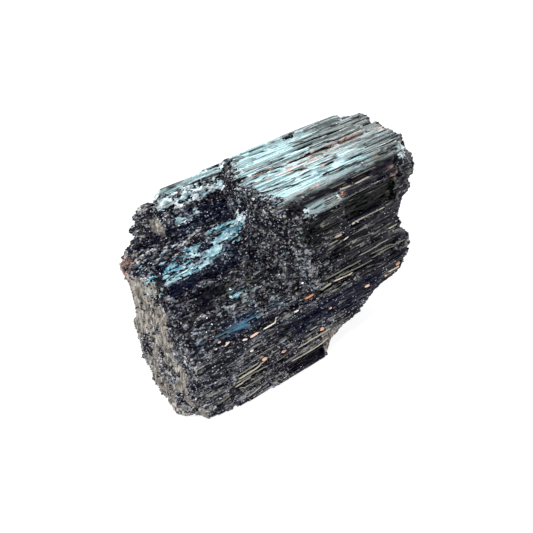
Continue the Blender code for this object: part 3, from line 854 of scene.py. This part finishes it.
class Nodes:
    """The node tree of a material or a world."""

    def __init__(self, owner):
        owner.use_nodes = True
        self.tree = owner.node_tree

    def add(self, kind, inputs=None, **settings):
        node = self.tree.nodes.new(kind)
        for name, value in settings.items():
            setattr(node, name, value)
        return self.fill(node, inputs or {})

    def fill(self, node, inputs):
        """Sets each input to its value, or links it to the socket that it comes from."""
        for name, value in inputs.items():
            if isinstance(value, bpy.types.NodeSocket):
                self.tree.links.new(value, node.inputs[name])
            else:
                node.inputs[name].default_value = value
        return node

    def math(self, operation, a, b, clamp=False):
        return self.add("ShaderNodeMath", {0: a, 1: b}, operation=operation, use_clamp=clamp).outputs[0]

    def plus(self, *values):
        total = values[0]
        for value in values[1:]:
            total = self.math("ADD", total, value)
        return total

    def minus(self, a, b):
        return self.math("SUBTRACT", a, b)

    def times(self, *values):
        total = values[0]
        for value in values[1:]:
            total = self.math("MULTIPLY", total, value)
        return total

    def most(self, a, b):
        return self.math("MAXIMUM", a, b)

    def above(self, a, b):
        """1 where a is above b, and 0 elsewhere."""
        return self.math("GREATER_THAN", a, b)

    def attribute(self, name):
        return self.add("ShaderNodeAttribute", attribute_name=name).outputs["Fac"]

    def range(self, value, low, high, at_low=0.0, at_high=1.0):
        inputs = {0: value, 1: low, 2: high, 3: at_low, 4: at_high}
        return self.add("ShaderNodeMapRange", inputs).outputs[0]

    def blend(self, share, at_none, at_full):
        """A number that goes from at_none to at_full as the share goes from 0 to 1."""
        return self.range(share, 0.0, 1.0, at_none, at_full)

    def mix(self, share, a, b):
        """A colour that goes from a to b as the share goes from 0 to 1."""
        return self.add("ShaderNodeMix", {0: share, 6: a, 7: b}, data_type="RGBA").outputs[2]

    def stretched(self, scale):
        """Object coordinates in millimetres, times the scale."""
        place = self.add("ShaderNodeTexCoord").outputs["Object"]
        scaled = [factor / MM for factor in scale]
        return self.add("ShaderNodeMapping", {"Vector": place, "Scale": scaled}).outputs[0]

    def noise(self, scale, detail=3.0, roughness=0.6):
        inputs = {"Vector": self.stretched(scale), "Scale": 1.0, "Detail": detail, "Roughness": roughness}
        return self.add("ShaderNodeTexNoise", inputs).outputs[0]

    def cells(self, scale, feature="F1"):
        inputs = {"Vector": self.stretched(scale), "Scale": 1.0}
        return self.add("ShaderNodeTexVoronoi", inputs, feature=feature)

    def split(self, colour):
        return self.add("ShaderNodeSeparateColor", {0: colour}).outputs

    def dice(self, scale):
        """Three random numbers, the same all over each cell."""
        return self.split(self.cells(scale).outputs["Color"])

    def line(self, scale, width, chance, least):
        """Thin lines on the edges of the cells, where the chance is more than the least."""
        distance = self.cells(scale, "DISTANCE_TO_EDGE").outputs["Distance"]
        thin = self.range(distance, width, 0.6 * width)
        return self.times(thin, self.range(chance, least, least + 0.03))

    def vector(self, operation, a, b):
        return self.add("ShaderNodeVectorMath", {0: a, 1: b}, operation=operation).outputs[0]


def rgb(red, green, blue):
    """A linear colour from 0 to 255 screen values."""
    return tuple((value / 255) ** 2.2 for value in (red, green, blue)) + (1.0,)


class Tourmaline(Nodes):
    """The stone's material. Each method adds one layer of its look, in the zones painted on the mesh.

    Scales of noise and cells are per millimetre, so small numbers along X make what runs along the crystal.
    """

    def __init__(self):
        self.material = bpy.data.materials.new(SLOT)
        super().__init__(self.material)
        self.teal = self.attribute("teal")
        self.stain = self.attribute("stain")
        self.ribbed = self.attribute("ribbed")
        self.sheet = self.attribute("sheet")
        self.seam = self.attribute("seam")
        self.grit = self.attribute("grit")
        self.blue = self.attribute("blue")
        self.ridge = self.attribute("ridge")
        self.make_patterns()
        colour = self.black_mineral()
        colour = self.with_sheets(colour)
        colour = self.with_painted_sheen(colour)
        colour = self.with_painted_glints(colour)
        colour = self.with_rust(colour)
        colour = self.with_lines(colour)
        self.finish(colour)

    def make_patterns(self):
        """The small facets: grains on the breaks, splinters on the sides, and upright ones on the sheets."""
        self.streak = self.noise((0.1, 3.6, 3.6), 3.0, 0.65)
        self.upright = self.noise((1.8, 1.8, 0.3), 5.0, 0.75)
        self.broad = self.noise((0.12, 0.34, 0.34), 3.0, 0.6)
        self.on_ribs = self.above(self.plus(self.ribbed, self.times(self.minus(self.streak, 0.5), 1.2)), 0.5)
        self.on_sheet = self.above(self.plus(self.sheet, self.times(self.upright, 1.2)), 1.1)
        self.on_line = self.above(self.seam, 0.1)
        grains = self.cells((1.2, 2.2, 2.2)).outputs["Color"]
        facet = self.mix(self.on_ribs, grains, self.cells((0.4, 2.7, 2.7)).outputs["Color"])
        self.facet = self.mix(self.on_sheet, facet, self.cells((2.2, 2.2, 0.7)).outputs["Color"])
        self.pick = self.split(self.facet)
        self.grain = self.split(grains)
        self.chip = self.dice((0.5, 0.95, 0.95))
        self.dash = self.dice((0.3, 1.7, 1.7))
        self.flake = self.dice((0.5, 2.0, 2.0))
        self.fleck = self.dice((0.9, 1.8, 1.8))
        self.star = self.dice((3.4, 4.0, 4.0))
        # Thin lines along X: dark gaps in the painted sheen of the ribs, and painted highlights on lit rib
        # edges elsewhere.
        wide_line = self.line((0.03, 0.42, 0.42), 0.1, self.noise((0.07, 0.5, 0.5), 2.0), 0.575)
        self.fine_line = self.line((0.14, 1.5, 1.5), 0.17, self.noise((0.14, 0.7, 0.7), 2.0), 0.55)
        self.gap = self.most(wide_line, self.fine_line)

    def black_mineral(self):
        """Black, from olive through purplish to navy, with paler grains of every strength, painted light on
        ridges and painted shade in hollows, painted glints and painted highlights on lit rib edges.
        """
        # The ridge share paints ridges lighter and hollows darker, as painted light and shade; the grain
        # share is lower in painted shade.
        lift = self.plus(
            self.times(self.minus(self.broad, 0.5), 1.3),
            self.times(self.minus(self.chip[0], 0.5), 0.2),
            self.minus(self.grit, 0.55),
            self.blend(self.ridge, -0.26, 0.26),
        )
        value = self.math("ADD", self.pick[0], lift, clamp=True)
        dark = self.mix(self.range(self.blue, 0.0, 0.4), rgb(16, 20, 15), rgb(20, 17, 32))
        dark = self.mix(self.range(self.blue, 0.5, 1.0), dark, rgb(12, 20, 46))
        light = self.mix(self.chip[1], rgb(168, 170, 192), rgb(212, 208, 200))
        light = self.mix(self.range(self.blue, 0.5, 1.0, 0.0, 0.6), light, rgb(130, 170, 200))
        # Painted blue-green glints among the pale grains.
        teal_grain = self.times(self.above(self.chip[2], 0.8), self.blend(self.on_ribs, 0.35, 0.15))
        light = self.mix(teal_grain, light, rgb(140, 206, 214))
        pale = self.times(self.math("POWER", value, 5.0), self.blend(self.on_ribs, 1.0, 0.45))
        colour = self.mix(pale, dark, light)
        # Painted highlights on lit rib edges, fainter where the black is navy.
        lit_edge = self.times(self.fine_line, self.on_ribs, self.range(value, 0.1, 0.6, 0.0, 0.48))
        lit_edge = self.times(lit_edge, self.range(self.blue, 0.5, 1.0, 1.0, 0.3))
        return self.mix(lit_edge, colour, rgb(190, 189, 176))

    def with_sheets(self, colour):
        """Pale grey sheets, with upright grain. Where the black would be navy, they are blue."""
        rusty_grey = self.mix(self.range(self.broad, 0.42, 0.58), rgb(198, 196, 188), rgb(176, 166, 157))
        grey = self.mix(self.range(self.upright, 0.38, 0.62), rgb(72, 68, 64), rusty_grey)
        grey = self.mix(self.range(self.pick[0], 0.0, 0.45, 0.85, 0.0), grey, rgb(46, 42, 40))
        steel_blue = self.mix(self.dash[0], rgb(34, 66, 92), rgb(84, 134, 164))
        grey = self.mix(self.range(self.blue, 0.6, 0.8, 0.0, 0.9), grey, steel_blue)
        return self.mix(self.on_sheet, colour, grey)

    def with_painted_sheen(self, colour):
        """Painted blue-green sheen, standing in for the light from behind mirrored by the ribs: even ribs
        with black gaps on the top, and short flashing flakes on the breaks. It is partly real, as these
        places are also metallic and mirror the lamps.
        """
        place = self.add("ShaderNodeSeparateXYZ", {0: self.stretched((1, 1, 1))})
        upper = self.range(place.outputs[2], 33.6, 34.4)
        to_right = self.plus(self.times(place.outputs[0], 0.012), self.noise((0.06, 0.16, 0.16), 2.0))
        greyer = self.range(to_right, 0.62, 0.9)
        low = self.mix(greyer, rgb(150, 180, 186), rgb(106, 115, 117))
        high = self.mix(greyer, rgb(197, 223, 225), rgb(152, 159, 158))
        brightness = self.plus(
            self.range(self.noise((0.05, 0.25, 0.25), 3.0), 0.35, 0.65),
            self.blend(self.dash[0], -0.15, 0.25),
            self.blend(self.grain[0], -0.2, 0.2),
            self.blend(self.star[2], -0.4, 0.4),
            self.range(self.streak, 0.32, 0.68, -0.6, 0.6),
        )
        on_top = self.mix(brightness, low, high)
        on_slope = self.mix(self.flake[1], rgb(62, 150, 178), rgb(216, 244, 246))
        on_bench = self.mix(self.fleck[1], rgb(140, 182, 194), rgb(248, 254, 255))
        painted_sheen_colour = self.mix(self.on_ribs, self.mix(upper, on_slope, on_bench), on_top)
        flakes = self.mix(upper, self.flake[2], self.fleck[2])
        chance = self.plus(flakes, self.times(self.chip[0], 0.4), self.times(self.grain[2], 0.4))
        least = self.blend(self.teal, 1.82, self.blend(upper, 0.6, 0.36))
        even = self.times(self.teal, self.minus(1.0, self.times(self.gap, 0.92)))
        self.painted_sheen_zone = self.mix(self.on_ribs, self.above(chance, least), even)
        return self.mix(self.painted_sheen_zone, colour, painted_sheen_colour)

    def with_painted_glints(self, colour):
        """Painted glints: tiny bright specks, some of them like small mirrors."""
        rare = self.above(self.star[0], self.range(self.grit, 0.12, 0.6, 1.0, 0.88))
        covered = self.most(self.on_sheet, self.times(self.teal, self.on_ribs))
        bare = self.math("SUBTRACT", 1.0, covered, clamp=True)
        self.painted_glint = self.times(rare, self.blend(self.star[1], 0.1, 0.9), bare)
        return self.mix(self.painted_glint, colour, rgb(222, 226, 236))

    def with_rust(self, colour):
        """Iron stain in its zones, and a few specks of it anywhere."""
        rusty = self.mix(self.pick[1], rgb(190, 128, 112), rgb(236, 200, 184))
        ragged = self.range(self.noise((0.5, 1.6, 1.6)), 0.44, 0.5)
        colour = self.mix(self.times(self.stain, ragged, 0.85), colour, rusty)
        specks = self.cells((0.35, 0.8, 0.8))
        near = self.range(specks.outputs["Distance"], 0.22, 0.16)
        chosen = self.above(self.split(specks.outputs["Color"])[0], 0.985)
        return self.mix(self.times(near, chosen), colour, rusty)

    def with_lines(self, colour):
        """The inlaid lines, dimmed here and there unless they are black. The pale lines of the front are
        painted highlights on lit rib edges.
        """
        line = self.mix(self.range(self.seam, BLACK, OLIVE), rgb(8, 10, 14), rgb(126, 126, 112))
        line = self.mix(self.range(self.seam, OLIVE, CREAM), line, rgb(244, 234, 218))
        line = self.mix(self.range(self.seam, CREAM, ORANGE), line, rgb(226, 150, 116))
        dimmed = self.times(self.range(self.dash[0], 0.0, 0.4, 0.5, 0.0), self.range(self.seam, BLACK, OLIVE))
        line = self.mix(dimmed, line, rgb(70, 66, 64))
        return self.mix(self.on_line, colour, line)

    def finish(self, colour):
        """The colour with its gloss, on facets that lean."""
        gleam_metal = self.times(self.painted_sheen_zone, self.range(self.ribbed, 0.3, 0.9, 0.25, 0.3))
        satin = self.times(self.most(self.on_sheet, self.painted_sheen_zone), 0.2)
        looks = {
            "Base Color": colour,
            "Metallic": self.most(gleam_metal, self.times(self.painted_glint, 0.4)),
            "Roughness": self.plus(self.blend(self.pick[2], 0.06, 0.3), satin),
            "Normal": self.leaning(),
            "IOR": 1.62,
            "Specular IOR Level": 0.14,
        }
        self.fill(self.tree.nodes["Principled BSDF"], looks)

    def leaning(self):
        """The normal of the tiny facets: every grain leans its own way, and every splinter leans about X."""
        lean = self.vector("SUBTRACT", self.facet, (0.5, 0.5, 0.5))
        lean = self.vector("MULTIPLY", lean, self.mix(self.on_ribs, (1, 1, 1, 1), (0.1, 1, 1, 1)))
        even = self.times(self.teal, self.blend(self.on_ribs, 0.6, 1.0))
        amount = self.times(
            self.blend(self.on_ribs, 1.7, 0.8),
            self.blend(even, 1.0, 0.16),
            self.blend(self.sheet, 1.0, 0.4),
            self.minus(1.0, self.on_line),
        )
        lean = self.vector("MULTIPLY", lean, amount)
        # The dark gaps and black lines are steps that face the front, so they mirror no light from behind.
        black_line = self.times(self.on_line, self.range(self.seam, BLACK, OLIVE, 1.0, 0.0))
        stepped = self.most(black_line, self.times(self.gap, self.teal, self.on_ribs))
        lean = self.vector("ADD", lean, self.vector("MULTIPLY", (0.0, -0.6, 0.0), stepped))
        ground = self.add("ShaderNodeNewGeometry").outputs["Normal"]
        return self.vector("NORMALIZE", self.vector("ADD", ground, lean), (0, 0, 0))


# The studio


def pale_floor():
    bpy.ops.mesh.primitive_plane_add(size=FLOOR_SIZE, location=(0, 0, -FLOOR_GAP))
    floor = bpy.context.object
    floor.name = "floor"
    material = bpy.data.materials.new("floor")
    nodes = Nodes(material)
    looks = {"Base Color": (0.22, 0.22, 0.22, 1), "Roughness": 0.9, "Emission Strength": 0.88}
    nodes.fill(nodes.tree.nodes["Principled BSDF"], looks)
    floor.data.materials.append(material)


def pale_world():
    """A pale surround, brighter near the horizon than above."""
    world = bpy.data.worlds.new("studio")
    bpy.context.scene.world = world
    nodes = Nodes(world)
    upward = nodes.add("ShaderNodeTexCoord").outputs["Generated"]
    height = nodes.add("ShaderNodeSeparateXYZ", {0: upward}).outputs["Z"]
    looks = {"Color": (0.95, 0.97, 1.0, 1), "Strength": nodes.range(height, 0.1, 0.3, 1.0, 0.35)}
    nodes.fill(nodes.tree.nodes["Background"], looks)


def direction(azimuth, elevation):
    a, e = math.radians(azimuth), math.radians(elevation)
    return Vector((math.sin(a) * math.cos(e), -math.cos(a) * math.cos(e), math.sin(e)))


def soft_light(name, azimuth, elevation, distance, size, watts, colour):
    data = bpy.data.lights.new(name, "AREA")
    data.energy = watts
    data.size = size
    data.color = colour
    light = placed(name, data)
    away = direction(azimuth, elevation)
    light.location = away * distance + Vector((0, 0, LIGHT_TARGET_HEIGHT))
    light.rotation_euler = away.to_track_quat("Z", "Y").to_euler()


def camera():
    data = bpy.data.cameras.new("camera")
    data.lens = CAMERA_LENS
    view = placed("camera", data)
    back = direction(CAMERA_AZIMUTH, CAMERA_ELEVATION)
    view.location = (Vector(CAMERA_TARGET) + back * CAMERA_DISTANCE) * MM
    view.rotation_euler = back.to_track_quat("Z", "Y").to_euler()
    bpy.context.scene.camera = view
    bpy.context.scene.view_settings.view_transform = "Standard"


schorl = Tourmaline().material
stone = fine_stone(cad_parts[STONE], schorl)
surface = surface_tree(stone)
laths("long_laths", stone, surface, schorl)
threads("front_lines", FRONT_LINES, front_path, surface, schorl)
threads("top_lines", BLACK_LINES + TOP_LINES, top_path, surface, schorl)
crumbs("crumbs", stone, schorl)
pale_floor()
pale_world()
for light in LIGHTS:
    soft_light(*light)
camera()
